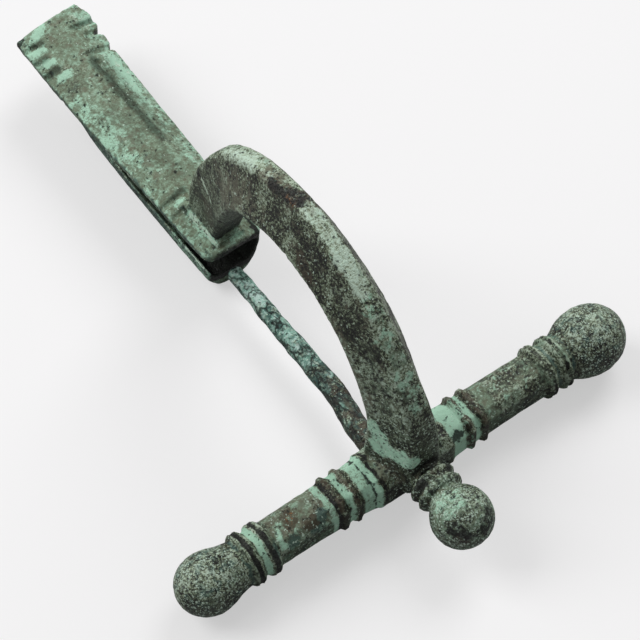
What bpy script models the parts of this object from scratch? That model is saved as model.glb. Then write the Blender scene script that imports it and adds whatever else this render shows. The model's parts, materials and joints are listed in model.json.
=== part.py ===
"""Bronze crossbow brooch: one casting (foot, bow, crossbar and three knobs) and its hinged pin.

Frame: X along the crossbar, Y from the front knob to the end of the foot, Z up.
The brooch lies as it would on a table, on its two side knobs and the underside of the foot.
All sizes are in millimetres and are turned into metres where a mesh is made.
"""
import math

import bmesh
import bpy
from mathutils import Vector

MM = 0.001

# Crossbar, measured from its middle out to each knob
KNOB_SPACING = 48.4
KNOB_R_LEFT = 3.4
KNOB_R_RIGHT = 3.85
KNOB_STRETCH = 1.07
KNOB_STRETCH_INNER = 1.28
NECK_R = 2.35
COLLAR_R = 3.15
COLLAR_WIDTH = 1.55
COLLAR_GROOVE = 0.55
COLLAR_GAP = 0.45
COLLAR_ROUND = 0.2
COLLAR_VALLEY = 0.3
COLLAR_LEAD = 0.5
ARM_WIDTH = 4.7
ARM_HEIGHT = 4.6
ARM_CHAMFER = 1.0
ARM_TAPER = 0.97
RIB_RISE = 0.32
RIB_WIDTH = 1.05
RIB_GAP = 0.55
RIB_SLOPE = 0.23
BLOCK_LENGTH = 9.2
BLOCK_WIDTH = 5.6
BLOCK_HEIGHT = 5.2
BLOCK_CHAMFER = 1.1
BAND_LENGTH = 2.1
BAND_LEAD = 0.35
BAND_RISE = 0.15

# Front knob with its double collar
FRONT_KNOB_R = 3.4
FRONT_KNOB_REACH = 9.8
FRONT_KNOB_RISE = 2.0
FRONT_COLLAR_R = 2.75
FRONT_COLLAR_WIDTH = 2.5
FRONT_COLLAR_GROOVE = 0.45
FRONT_COLLAR_ROUND = 0.15
FRONT_COLLAR_LAP = 0.45
FRONT_NECK_R = 2.0

# Bow
BOW_TOP = 30.0
BOW_REACH = 33.0
BOW_BEVEL = 0.35
BOW_BULGE = 0.12
BOW_STEPS = 3

# Foot with its catch
FOOT_FRONT = 28.9
FOOT_LENGTH = 36.6
FOOT_TOP = 8.5
FOOT_HALF_FRONT = 3.7
FOOT_HALF_END = 4.5
FOOT_SHIFT_FRONT = 0.3
FOOT_SHIFT_END = 0.8
FOOT_CORNER = 1.3
PLATE_EDGE = 0.8
ROOF_HALF = 1.7
ROOF_DROP_LEFT = 0.85
ROOF_DROP_RIGHT = 1.45
END_THICKNESS = 4.0
END_FLAT = 8.0
END_ROOF = 0.3
END_SKEW = 0.9
MOUTH_SLANT = 1.3
CATCH_DEPTH = 27.5
SLOT_HEIGHT = 2.45
SLOT_SPREAD = 0.55
CATCH_WALL = 0.9
LIP_WALL = 0.7
LIP_RIM = 0.15
LIP_INSET = 0.5
LIP_LEAN = 0.9
LIP_DROP = 4.1
HOLLOW_HEIGHT = 3.9
PLINTH_RISE = 0.5
PLINTH_HALF = 2.0
PLINTH_FRONT = 0.7
PLINTH_BACK = 3.1
PLINTH_SLOPE = 0.2

# Notches in the right edge of the foot: distance from its end, depth, half width
NOTCHES = ((4.4, 1.1, 1.25), (6.8, 0.6, 1.0))

# Grooves on top of the foot's end: distance from its end, inner and outer end from the foot's middle
END_GROOVES = ((2.9, 2.0, 6.0), (4.4, 3.1, 6.0), (6.8, 1.4, 6.0), (2.6, -2.2, -6.0), (4.5, -3.2, -6.0),
               (6.5, -2.8, -6.0))
GROOVE_DEPTH = 0.45
GROOVE_WIDTH = 0.8
END_CORNER = 0.8
END_CORNER_LENGTH = 2.2
LONG_GROOVE_NEAR = 7.9
LONG_GROOVE_FAR = 22.0
LONG_GROOVE_DEPTH = 0.6
LONG_GROOVE_WIDTH = 1.0
CROSS_GROOVES = ((2.7, 1.8), (4.5, 0.4))

# Pin and its hinge
PIN_HEAD_R = 1.3
PIN_ROOT_R = 1.55
PIN_TIP_R = 1.0
PIN_TIP_GAP = 0.8
PIN_SIDE = -1.3
PIN_TIP_SIDE = -0.25
PIN_AXIS_Z = 3.3
TRUNNION_R = 0.75
TRUNNION_REACH = 1.5
HINGE_CLEARANCE = 0.2

CUT_OVERRUN = 2.0
RING_POINTS = 24
TURN_POINTS = 24
BALL_STEPS = 10
POLE_ANGLE = 0.08
FOOT_STEPS = 14
PIN_STEPS = 26
SHARP_ANGLE = math.radians(35)

BRONZE_DARK = (0.075, 0.095, 0.075, 1.0)
BRONZE_MINT = (0.20, 0.34, 0.27, 1.0)

BAR_Z = max(KNOB_R_LEFT, KNOB_R_RIGHT)
FOOT_END = FOOT_FRONT + FOOT_LENGTH
RISER_Y = BOW_REACH

# The middle of the brooch's box, seen from above, is the origin
ORIGIN_X = (KNOB_R_RIGHT - KNOB_R_LEFT) * KNOB_STRETCH / 2
ORIGIN_Y = (FOOT_END - FRONT_KNOB_REACH - FRONT_KNOB_R) / 2


def clear_scene():
    """Remove every object of the open scene."""
    for item in list(bpy.data.objects):
        bpy.data.objects.remove(item, do_unlink=True)


def make_material(name, color, roughness, metallic):
    """One Principled material for a piece."""
    material = bpy.data.materials.new(name)
    material.use_nodes = True
    shader = material.node_tree.nodes["Principled BSDF"]
    shader.inputs["Base Color"].default_value = color
    shader.inputs["Roughness"].default_value = roughness
    shader.inputs["Metallic"].default_value = metallic
    return material


def add_object(name, bm, material=None):
    """Turn a bmesh in millimetres, measured from the crossbar's middle, into an object in metres."""
    bmesh.ops.translate(bm, vec=(-ORIGIN_X, -ORIGIN_Y, 0.0), verts=bm.verts)
    bmesh.ops.scale(bm, vec=(MM, MM, MM), verts=bm.verts)
    bmesh.ops.recalc_face_normals(bm, faces=bm.faces)
    mesh = bpy.data.meshes.new(name)
    bm.to_mesh(mesh)
    bm.free()
    mesh.shade_smooth()
    mesh.set_sharp_from_angle(angle=SHARP_ANGLE)
    if material:
        mesh.materials.append(material)
    item = bpy.data.objects.new(name, mesh)
    bpy.context.scene.collection.objects.link(item)
    return item


def hide_tool(item):
    """Mark an object as a helper that isn't a piece of the brooch."""
    item.hide_render = True
    item.display_type = "WIRE"
    return item


def apply_shape(target, tool, operation):
    """Join a helper to the target, or cut it away."""
    modifier = target.modifiers.new(tool.name, "BOOLEAN")
    modifier.operation = operation
    modifier.object = hide_tool(tool)


def loft(rings):
    """A closed body through rings that have the same number of points."""
    bm = bmesh.new()
    loops = []
    for ring in rings:
        verts = [bm.verts.new(point) for point in ring]
        loops.append([bm.edges.new((verts[i - 1], verts[i])) for i in range(len(verts))])
    for lower, upper in zip(loops, loops[1:]):
        bmesh.ops.bridge_loops(bm, edges=lower + upper)
    for end in (loops[0], loops[-1]):
        bmesh.ops.contextual_create(bm, geom=end)
    return bm


def spline(knots, t):
    """Catmull-Rom value at t, where whole numbers are the knots."""
    i = min(int(t), len(knots) - 2)
    u = t - i
    before = Vector(knots[max(i - 1, 0)])
    a = Vector(knots[i])
    b = Vector(knots[i + 1])
    after = Vector(knots[min(i + 2, len(knots) - 1)])
    rise = (b - before) * 0.5
    fall = (after - a) * 0.5
    return (a * (2 * u**3 - 3 * u**2 + 1) + rise * (u**3 - 2 * u**2 + u)
            + b * (3 * u**2 - 2 * u**3) + fall * (u**3 - u**2))


def mix(a, b, share):
    """Straight-line value between a and b."""
    return a + (b - a) * share


def octagon_ring(half_y, half_z, chamfer):
    """A chamfered rectangle in Y and Z, as RING_POINTS points."""
    corners = [(half_y, half_z - chamfer), (half_y - chamfer, half_z)]
    corners += [(-half_y + chamfer, half_z), (-half_y, half_z - chamfer)]
    corners += [(-half_y, -half_z + chamfer), (-half_y + chamfer, -half_z)]
    corners += [(half_y - chamfer, -half_z), (half_y, -half_z + chamfer)]
    per_side = RING_POINTS // len(corners)
    points = []
    for i, (y, z) in enumerate(corners):
        next_y, next_z = corners[(i + 1) % len(corners)]
        points += [(mix(y, next_y, k / per_side), mix(z, next_z, k / per_side)) for k in range(per_side)]
    return points


def round_ring(radius):
    """A circle in Y and Z whose points match those of octagon_ring."""
    guide = octagon_ring(1.0, 1.0, 1.0 - math.tan(math.pi / 8))
    return [(radius * y / math.hypot(y, z), radius * z / math.hypot(y, z)) for y, z in guide]


def knob_angles(neck_r, knob_r):
    """Angles along a ball from its neck to just short of its pole."""
    start = math.asin(min(neck_r / knob_r, 1.0))
    return [mix(start, math.pi - POLE_ANGLE, (k + 1) / BALL_STEPS) for k in range(BALL_STEPS)]


def arm_stations(knob_r):
    """Distance from the middle and outline of each section of one arm, from the block outwards."""
    knob = KNOB_SPACING / 2
    half = (ARM_WIDTH / 2, ARM_HEIGHT / 2)
    rib = (half[0] + RIB_RISE, half[1] + RIB_RISE)
    stations = [(BLOCK_LENGTH / 2, octagon_ring(BLOCK_WIDTH / 2, BLOCK_HEIGHT / 2, BLOCK_CHAMFER))]
    at = BLOCK_LENGTH / 2
    stations.append((at + BAND_LEAD, octagon_ring(half[0] + BAND_RISE, half[1] + BAND_RISE, ARM_CHAMFER)))
    at += BAND_LENGTH
    stations.append((at, octagon_ring(*half, ARM_CHAMFER)))
    for _ in range(2):
        stations.append((at + RIB_SLOPE, octagon_ring(*rib, ARM_CHAMFER)))
        stations.append((at + RIB_WIDTH - RIB_SLOPE, octagon_ring(*rib, ARM_CHAMFER)))
        stations.append((at + RIB_WIDTH, octagon_ring(*half, ARM_CHAMFER)))
        stations.append((at + RIB_WIDTH + RIB_GAP, octagon_ring(*half, ARM_CHAMFER)))
        at += RIB_WIDTH + RIB_GAP
    collars_end = knob - max(KNOB_R_LEFT, KNOB_R_RIGHT)
    collar_start = collars_end - 2 * COLLAR_WIDTH - COLLAR_GAP
    outer_end = octagon_ring(half[0] * ARM_TAPER, half[1] * ARM_TAPER, ARM_CHAMFER)
    stations.append((collar_start - COLLAR_LEAD, outer_end))
    valley = mix(NECK_R, COLLAR_R, COLLAR_VALLEY)
    shoulder = COLLAR_R - COLLAR_ROUND
    profile = [(0.0, valley), (0.14, shoulder), (0.34, COLLAR_R), (0.5, COLLAR_R - COLLAR_GROOVE)]
    profile += [(0.66, COLLAR_R), (0.86, shoulder), (1.0, valley)]
    for k in range(2):
        first = collar_start + k * (COLLAR_WIDTH + COLLAR_GAP)
        stations += [(first + share * COLLAR_WIDTH, round_ring(radius)) for share, radius in profile]
    for angle in knob_angles(NECK_R, knob_r):
        stretch = KNOB_STRETCH_INNER if angle < math.pi / 2 else KNOB_STRETCH
        at = knob - math.cos(angle) * knob_r * stretch
        if at > collars_end + 0.1:
            stations.append((at, round_ring(knob_r * math.sin(angle))))
    return stations


def build_crossbar(material):
    """The crossbar with its block, ribs, collars and side knobs."""
    rings = []
    for x, outline in reversed(arm_stations(KNOB_R_LEFT)):
        rings.append([(-x, y, BAR_Z + z) for y, z in outline])
    for x, outline in arm_stations(KNOB_R_RIGHT):
        rings.append([(x, y, BAR_Z + z) for y, z in outline])
    return add_object("brooch_casting", loft(rings), material)


def build_front_knob():
    """The front knob, turned about an axis along Y."""
    axis_z = BAR_Z + FRONT_KNOB_RISE
    collar = FRONT_KNOB_REACH - FRONT_KNOB_R - FRONT_COLLAR_WIDTH + FRONT_COLLAR_LAP
    neck_end = FRONT_KNOB_REACH - math.sqrt(max(FRONT_KNOB_R**2 - FRONT_NECK_R**2, 0.0))
    shoulder = FRONT_COLLAR_R - FRONT_COLLAR_ROUND
    rings_of_collar = [(0.1, shoulder), (0.28, FRONT_COLLAR_R), (0.5, FRONT_COLLAR_R - FRONT_COLLAR_GROOVE)]
    rings_of_collar += [(0.72, FRONT_COLLAR_R), (0.9, shoulder)]
    profile = [(0.0, FRONT_NECK_R), (collar, FRONT_NECK_R)]
    profile += [(collar + share * FRONT_COLLAR_WIDTH, radius) for share, radius in rings_of_collar]
    profile.append((neck_end, FRONT_NECK_R))
    for angle in knob_angles(FRONT_NECK_R, FRONT_KNOB_R):
        profile.append((FRONT_KNOB_REACH - math.cos(angle) * FRONT_KNOB_R, FRONT_KNOB_R * math.sin(angle)))
    rings = []
    for reach, radius in profile:
        turn = [2 * math.pi * k / TURN_POINTS for k in range(TURN_POINTS)]
        rings.append([(radius * math.cos(a), -reach, axis_z + radius * math.sin(a)) for a in turn])
    return add_object("front_knob", loft(rings))


def bow_knots():
    """Middle line and section of the bow: y, z, half depth, half outer width, half inner width.

    Along and up are shares of the bow's reach and of its rise over the crossbar's axis.
    """
    rise = BOW_TOP - BAR_Z
    shares = [
        (-0.026, 0.00, 3.00, 1.90, 3.90),
        (-0.026, 0.16, 2.95, 1.70, 3.70),
        (-0.024, 0.28, 2.85, 1.50, 3.45),
        (0.005, 0.42, 2.70, 1.25, 3.40),
        (0.095, 0.605, 2.45, 0.95, 3.30),
        (0.205, 0.752, 2.60, 0.85, 3.25),
        (0.350, 0.850, 2.72, 0.80, 3.20),
        (0.520, 0.893, 2.80, 0.80, 3.20),
        (0.685, 0.852, 2.85, 0.80, 3.20),
        (0.815, 0.747, 3.00, 0.80, 3.15),
        (0.905, 0.570, 3.15, 0.85, 2.75),
    ]
    knots = [(along * BOW_REACH, BAR_Z + up * rise, depth, outer, inner)
             for along, up, depth, outer, inner in shares]
    low = FOOT_TOP - PLATE_EDGE
    knots.append((BOW_REACH * 0.973, mix(low, BOW_TOP, 0.255), 3.20, 0.95, 2.05))
    knots.append((RISER_Y + 0.2, low, 2.65, 1.20, 1.65))
    return knots


def build_bow():
    """The bow: a trapezoid section, narrow side outwards, along its curved middle line."""
    knots = bow_knots()
    total = (len(knots) - 1) * BOW_STEPS
    samples = [spline(knots, k / BOW_STEPS) for k in range(total + 1)]
    rings = []
    for i, (y, z, depth, outer, inner) in enumerate(samples):
        before = samples[max(i - 1, 0)]
        after = samples[min(i + 1, total)]
        along = Vector((after[0] - before[0], after[1] - before[1])).normalized()
        out = Vector((-along[1], along[0]))
        half = [(outer, depth), (outer + BOW_BEVEL, depth - BOW_BEVEL),
                (mix(outer, inner, 0.5) + BOW_BULGE, 0.0),
                (inner, -depth + 1.5 * BOW_BEVEL), (inner - BOW_BEVEL, -depth)]
        section = half + [(-x, h) for x, h in reversed(half)]
        rings.append([(x, y + out[0] * h, z + out[1] * h) for x, h in section])
    return add_object("bow", loft(rings))


def foot_middle(y):
    """X of the middle of the foot's plate at y: the foot leans a little to the right."""
    return mix(FOOT_SHIFT_FRONT, FOOT_SHIFT_END, ((y - FOOT_FRONT) / FOOT_LENGTH) ** 2)


def foot_half(y):
    """Half width of the foot's plate at y, with its rounded front corners."""
    share = (y - FOOT_FRONT) / FOOT_LENGTH
    half = mix(FOOT_HALF_FRONT, FOOT_HALF_END, share)
    into = min(max((y - FOOT_FRONT) / FOOT_CORNER, 0.0), 1.0)
    return half - FOOT_CORNER * (1.0 - math.sqrt(1.0 - (1.0 - into) ** 2))


def foot_underside(y):
    """Height of the foot's underside: flat under the catch, rising to the thin end."""
    rise_from = FOOT_FRONT + CATCH_DEPTH * 0.75
    share = min(max((y - rise_from) / (FOOT_END - rise_from), 0.0), 1.0)
    return (FOOT_TOP - END_THICKNESS) * share * share * (3 - 2 * share)


def roof_edges(y):
    """Heights of the left and right edge of the foot's roof at y: it flattens towards the end."""
    roof = mix(END_ROOF, 1.0, min((FOOT_END - y) / END_FLAT, 1.0))
    return FOOT_TOP - ROOF_DROP_LEFT * roof, FOOT_TOP - ROOF_DROP_RIGHT * roof


def lip_inset(y):
    """How far the catch's left lip stands in from the plate's edge at y."""
    share = min(max((y - FOOT_FRONT) / CATCH_DEPTH, 0.0), 1.0)
    return LIP_INSET + LIP_LEAN * share ** 1.6


def foot_section(y):
    """Outline of the foot at y, as points in X and Z: a shallow roof over a rounded catch."""
    half = foot_half(y)
    low = foot_underside(y)
    left = foot_middle(y) - half
    right = foot_middle(y) + half
    plate_left, plate_right = roof_edges(y)
    depth = plate_left - PLATE_EDGE - low
    lip = left + min(lip_inset(y), depth * 0.5)
    lip_low = plate_left - PLATE_EDGE - min(LIP_DROP, depth * 0.62)
    return [
        (-ROOF_HALF, FOOT_TOP),
        (left, plate_left),
        (left, plate_left - PLATE_EDGE),
        (lip, mix(plate_left - PLATE_EDGE, lip_low, 0.2)),
        (lip, lip_low),
        (lip + 0.55, mix(lip_low, low, 0.55)),
        (lip + 1.3, low),
        (right - half * 0.62, low),
        (right - half * 0.30, low + depth * 0.12),
        (right - half * 0.09, low + depth * 0.36),
        (right, low + depth * 0.66),
        (right, plate_right),
        (ROOF_HALF, FOOT_TOP),
    ]


def build_foot():
    """The foot: a lofted body whose front end slants back towards its underside."""
    corner_steps = [FOOT_FRONT + FOOT_CORNER * s for s in (0.0, 0.15, 0.4, 1.0)]
    start = corner_steps[-1]
    stations = corner_steps + [mix(start, FOOT_END, (k + 1) / FOOT_STEPS) for k in range(FOOT_STEPS)]
    rings = []
    for y in stations:
        fade = 1.0 - min((y - FOOT_FRONT) / (FOOT_CORNER * 2.5), 1.0)
        rings.append([(x, y + MOUTH_SLANT * (1 - z / FOOT_TOP) * fade, z) for x, z in foot_section(y)])
    rings[-1] = [(x, y - END_SKEW * (0.5 - x / (2 * FOOT_HALF_END)), z) for x, y, z in rings[-1]]
    return add_object("foot", loft(rings))


def build_plinth():
    """The low step on the foot that the bow's riser stands on."""
    low = FOOT_TOP - PLATE_EDGE
    high = FOOT_TOP + PLINTH_RISE
    top_half = PLINTH_HALF - PLINTH_SLOPE
    rings = []
    for y in (FOOT_FRONT + PLINTH_FRONT, RISER_Y + PLINTH_BACK):
        rings.append([(-PLINTH_HALF, y, low), (PLINTH_HALF, y, low),
                      (top_half, y, high), (-top_half, y, high)])
    return add_object("plinth", loft(rings))


def build_hollow():
    """Cutter for the catch: a rounded channel, open to the left through a narrow slot."""
    roof = FOOT_TOP - ROOF_DROP_LEFT - PLATE_EDGE
    floor = roof - HOLLOW_HEIGHT
    outside = foot_middle(FOOT_FRONT) - FOOT_HALF_END - CUT_OVERRUN
    rings = []
    for y, shrink, slot in ((FOOT_FRONT - CUT_OVERRUN, 0.0, SLOT_HEIGHT),
                            (FOOT_FRONT + CATCH_DEPTH * 0.6, 0.1, SLOT_HEIGHT + SLOT_SPREAD),
                            (FOOT_FRONT + CATCH_DEPTH, 0.75, 0.5)):
        inside = max(y, FOOT_FRONT + FOOT_CORNER)
        right = foot_middle(inside) + foot_half(inside) - CATCH_WALL
        lip = foot_middle(inside) - foot_half(inside) + lip_inset(inside)
        top = roof - shrink * 0.3
        low = mix(floor, top - slot, shrink)
        height = top - low
        rings.append([(outside, y, top), (outside, y, top - slot), (lip + LIP_RIM, y, top - slot),
                      (lip + LIP_WALL, y, mix(low, top - slot, 0.2)),
                      (lip + LIP_WALL + 0.4, y, low), (right - 1.3, y, low),
                      (right - 0.35, y, low + height * 0.25), (right, y, low + height * 0.55),
                      (right - 0.15, y, low + height * 0.82), (right - 0.9, y, top)])
    return add_object("catch_hollow", loft(rings))


def wedge(name, start, end, width, depth, side=Vector((0, 0, 1))):
    """Cutter for a V groove from start to end, open towards side."""
    run = (Vector(end) - Vector(start)).normalized()
    across = run.cross(side).normalized()
    lift = side * (depth * 1.5)
    rings = []
    for point in (Vector(start), Vector(end)):
        bottom = point - side * depth
        spread = across * (width * 1.25)
        rings.append([tuple(bottom), tuple(point + lift + spread), tuple(point + lift - spread)])
    return add_object(name, loft(rings))


def build_notches():
    """Cutters for the notches in the foot's right edge and for its cut-off right corner."""
    tools = []
    for k, (back, depth, half_width) in enumerate(NOTCHES):
        y = FOOT_END - back
        edge = foot_middle(y) + foot_half(y)
        tools.append(wedge("notch_%d" % k, (edge, y, -CUT_OVERRUN), (edge, y, FOOT_TOP + CUT_OVERRUN),
                           half_width, depth, Vector((1, 0, 0))))
    right = foot_middle(FOOT_END) + foot_half(FOOT_END)
    corner = [(right - END_CORNER, FOOT_END), (right - END_CORNER, FOOT_END + CUT_OVERRUN),
              (right + CUT_OVERRUN, FOOT_END + CUT_OVERRUN),
              (right + CUT_OVERRUN, FOOT_END - END_CORNER_LENGTH), (right, FOOT_END - END_CORNER_LENGTH)]
    rings = [[(x, y, z) for x, y in corner] for z in (-CUT_OVERRUN, FOOT_TOP + CUT_OVERRUN)]
    tools.append(add_object("end_corner", loft(rings)))
    return tools


def roof_height(x, y):
    """Height of the foot's roof at a place."""
    low_left, low_right = roof_edges(y)
    if x < 0:
        return mix(FOOT_TOP, low_left, (-x - ROOF_HALF) / (foot_half(y) - foot_middle(y) - ROOF_HALF))
    return mix(FOOT_TOP, low_right, (x - ROOF_HALF) / (foot_half(y) + foot_middle(y) - ROOF_HALF))


def build_grooves():
    """Cutters for the grooves on the foot's end, the long groove and the two cuts behind the riser."""
    tools = []
    for k, (back, inner, outer) in enumerate(END_GROOVES):
        y = FOOT_END - back
        ends = [(x, y, roof_height(x, y)) for x in (inner, outer)]
        tools.append(wedge("end_groove_%d" % k, *ends, GROOVE_WIDTH, GROOVE_DEPTH))
    x = ROOF_HALF + LONG_GROOVE_WIDTH / 2
    far, near = FOOT_END - LONG_GROOVE_FAR, FOOT_END - LONG_GROOVE_NEAR
    shallow = roof_height(x, far) + LONG_GROOVE_DEPTH
    deep = roof_height(x, near)
    tools.append(wedge("long_groove", (x, far, shallow), (x, near, deep),
                       LONG_GROOVE_WIDTH, LONG_GROOVE_DEPTH))
    for k, (back, inner) in enumerate(CROSS_GROOVES):
        y = RISER_Y + back
        ends = [(-x, y, roof_height(-x, y)) for x in (FOOT_HALF_END, inner)]
        tools.append(wedge("cross_groove_%d" % k, *ends, GROOVE_WIDTH, GROOVE_DEPTH))
    return tools


def cylinder_x(name, x0, x1, y, z, radius, material=None):
    """A round bar along X."""
    turn = [2 * math.pi * k / TURN_POINTS for k in range(TURN_POINTS)]
    rings = [[(x, y + radius * math.cos(a), z + radius * math.sin(a)) for a in turn] for x in (x0, x1)]
    return add_object(name, loft(rings), material)


def build_hinge_cutters():
    """Cutters for the hinge: a slot open behind and below, and round pockets for the trunnions."""
    half = PIN_HEAD_R + HINGE_CLEARANCE
    x0 = PIN_SIDE - half
    x1 = PIN_SIDE + half
    front = -half - HINGE_CLEARANCE
    back = BLOCK_WIDTH
    top = PIN_AXIS_Z + half + HINGE_CLEARANCE
    corners = [(front, -CUT_OVERRUN), (back, -CUT_OVERRUN), (back, top), (front, top)]
    slot = add_object("hinge_slot", loft([[(x, y, z) for y, z in corners] for x in (x0, x1)]))
    reach = half + TRUNNION_REACH + HINGE_CLEARANCE
    bore = cylinder_x("hinge_bore", PIN_SIDE - reach, PIN_SIDE + reach, 0.0, PIN_AXIS_Z,
                      TRUNNION_R + HINGE_CLEARANCE)
    return [slot, bore]


def pin_line(share):
    """Middle of the pin at a share of its length, slightly bent to the side."""
    length = FOOT_FRONT - PIN_TIP_GAP + MOUTH_SLANT * (1 - PIN_AXIS_Z / FOOT_TOP)
    knots = [(0.0, PIN_SIDE), (0.16, PIN_SIDE - 0.05), (0.40, mix(PIN_SIDE, PIN_TIP_SIDE, 0.75)),
             (0.68, mix(PIN_SIDE, PIN_TIP_SIDE, 0.8)), (1.0, PIN_TIP_SIDE)]
    for (s0, x0), (s1, x1) in zip(knots, knots[1:]):
        if share <= s1:
            ease = (share - s0) / (s1 - s0)
            return mix(x0, x1, ease * ease * (3 - 2 * ease)), share * length
    return PIN_TIP_SIDE, length


def build_pin(material):
    """The pin: a round head with trunnions on the hinge's axis, and a tapering shaft."""
    rings = []
    turn = [2 * math.pi * k / TURN_POINTS for k in range(TURN_POINTS)]
    for k in range(PIN_STEPS + 1):
        share = k / PIN_STEPS
        x, y = pin_line(share)
        radius = mix(PIN_ROOT_R, PIN_TIP_R, share)
        radius = min(radius, mix(PIN_HEAD_R, PIN_ROOT_R, min(share / 0.2, 1.0)))
        rings.append([(x + radius * math.cos(a), y, PIN_AXIS_Z + radius * math.sin(a)) for a in turn])
    tip_x, tip_y = pin_line(1.0)
    for angle in (30, 60, 80):
        radius = PIN_TIP_R * math.cos(math.radians(angle))
        y = tip_y + PIN_TIP_R * 0.6 * math.sin(math.radians(angle))
        rings.append([(tip_x + radius * math.cos(a), y, PIN_AXIS_Z + radius * math.sin(a)) for a in turn])
    pin = add_object("pin", loft(rings), material)
    head = cylinder_x("pin_head", PIN_SIDE - PIN_HEAD_R, PIN_SIDE + PIN_HEAD_R, 0.0, PIN_AXIS_Z, PIN_HEAD_R)
    reach = PIN_HEAD_R + TRUNNION_REACH
    trunnion = cylinder_x("pin_trunnion", PIN_SIDE - reach, PIN_SIDE + reach, 0.0, PIN_AXIS_Z, TRUNNION_R)
    apply_shape(pin, head, "UNION")
    apply_shape(pin, trunnion, "UNION")
    return pin


def main():
    """Build the casting and the pin."""
    clear_scene()
    bronze = make_material("patinated_bronze", BRONZE_DARK, 0.75, 0.3)
    pin_bronze = make_material("pin_bronze", BRONZE_MINT, 0.85, 0.2)
    casting = build_crossbar(bronze)
    for shape in (build_bow(), build_front_knob(), build_foot(), build_plinth()):
        apply_shape(casting, shape, "UNION")
    for cutter in [build_hollow()] + build_notches() + build_grooves() + build_hinge_cutters():
        apply_shape(casting, cutter, "DIFFERENCE")
    build_pin(pin_bronze)


main()
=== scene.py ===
"""A late Roman bronze crossbow brooch: its crusted casting and its pin, on a pale studio floor."""
import json
import math

import bmesh
import bpy
import numpy as np
from bpy.props import FloatProperty, FloatVectorProperty, PointerProperty
from mathutils import Matrix, Vector, noise
from mathutils.bvhtree import BVHTree


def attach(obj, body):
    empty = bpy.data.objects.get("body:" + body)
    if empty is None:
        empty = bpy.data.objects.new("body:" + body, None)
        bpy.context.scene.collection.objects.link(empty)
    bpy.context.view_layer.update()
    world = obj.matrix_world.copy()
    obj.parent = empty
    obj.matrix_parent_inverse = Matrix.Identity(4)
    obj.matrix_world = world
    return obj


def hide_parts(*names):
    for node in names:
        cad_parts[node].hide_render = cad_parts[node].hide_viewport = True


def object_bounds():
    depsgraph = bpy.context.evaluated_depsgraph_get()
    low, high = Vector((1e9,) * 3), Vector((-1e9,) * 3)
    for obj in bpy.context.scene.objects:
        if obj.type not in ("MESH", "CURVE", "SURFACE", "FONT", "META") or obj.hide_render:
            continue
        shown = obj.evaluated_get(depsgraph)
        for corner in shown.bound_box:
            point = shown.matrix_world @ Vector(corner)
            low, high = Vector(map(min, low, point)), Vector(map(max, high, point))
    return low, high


bl_info = {
    "name": "Bronze crossbow brooch",
    "version": (1, 0, 0),
    "blender": (4, 5, 0),
    "location": "View3D > Sidebar > Brooch",
    "description": "Dresses a bronze crossbow brooch and its pin in their worn green patina",
    "category": "Object",
}

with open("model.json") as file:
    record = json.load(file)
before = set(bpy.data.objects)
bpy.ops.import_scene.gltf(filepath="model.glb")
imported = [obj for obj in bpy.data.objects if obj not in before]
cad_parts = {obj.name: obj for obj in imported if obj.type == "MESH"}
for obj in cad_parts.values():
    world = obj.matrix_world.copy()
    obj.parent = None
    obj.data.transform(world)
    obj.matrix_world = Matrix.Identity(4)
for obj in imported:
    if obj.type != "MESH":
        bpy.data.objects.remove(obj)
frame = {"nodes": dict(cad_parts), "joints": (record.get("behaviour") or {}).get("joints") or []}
CAD_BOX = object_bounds()

MM = 0.001
HINGE = Vector(frame["joints"][0]["pos_m"])
PIN_SIDE = 1.3 * MM
BAR_MIDDLE = Vector((HINGE.x + PIN_SIDE, HINGE.y, 0.0))


def paint(red, green, blue):
    """A colour given as it looks on a screen, 0 to 255, as the shader's linear values."""
    def linear(value):
        value /= 255
        return value / 12.92 if value <= 0.04045 else ((value + 0.055) / 1.055) ** 2.4
    return (linear(red), linear(green), linear(blue))


def colour(name, description, value):
    """A colour property with its default."""
    return FloatVectorProperty(name=name, description=description, subtype="COLOR",
                               min=0.0, max=1.0, default=value)


def length(name, description, value):
    """A length property, in metres, with its default given in millimetres."""
    return FloatProperty(name=name, description=description, subtype="DISTANCE", unit="LENGTH",
                         min=0.0, precision=5, default=value * MM)


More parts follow.
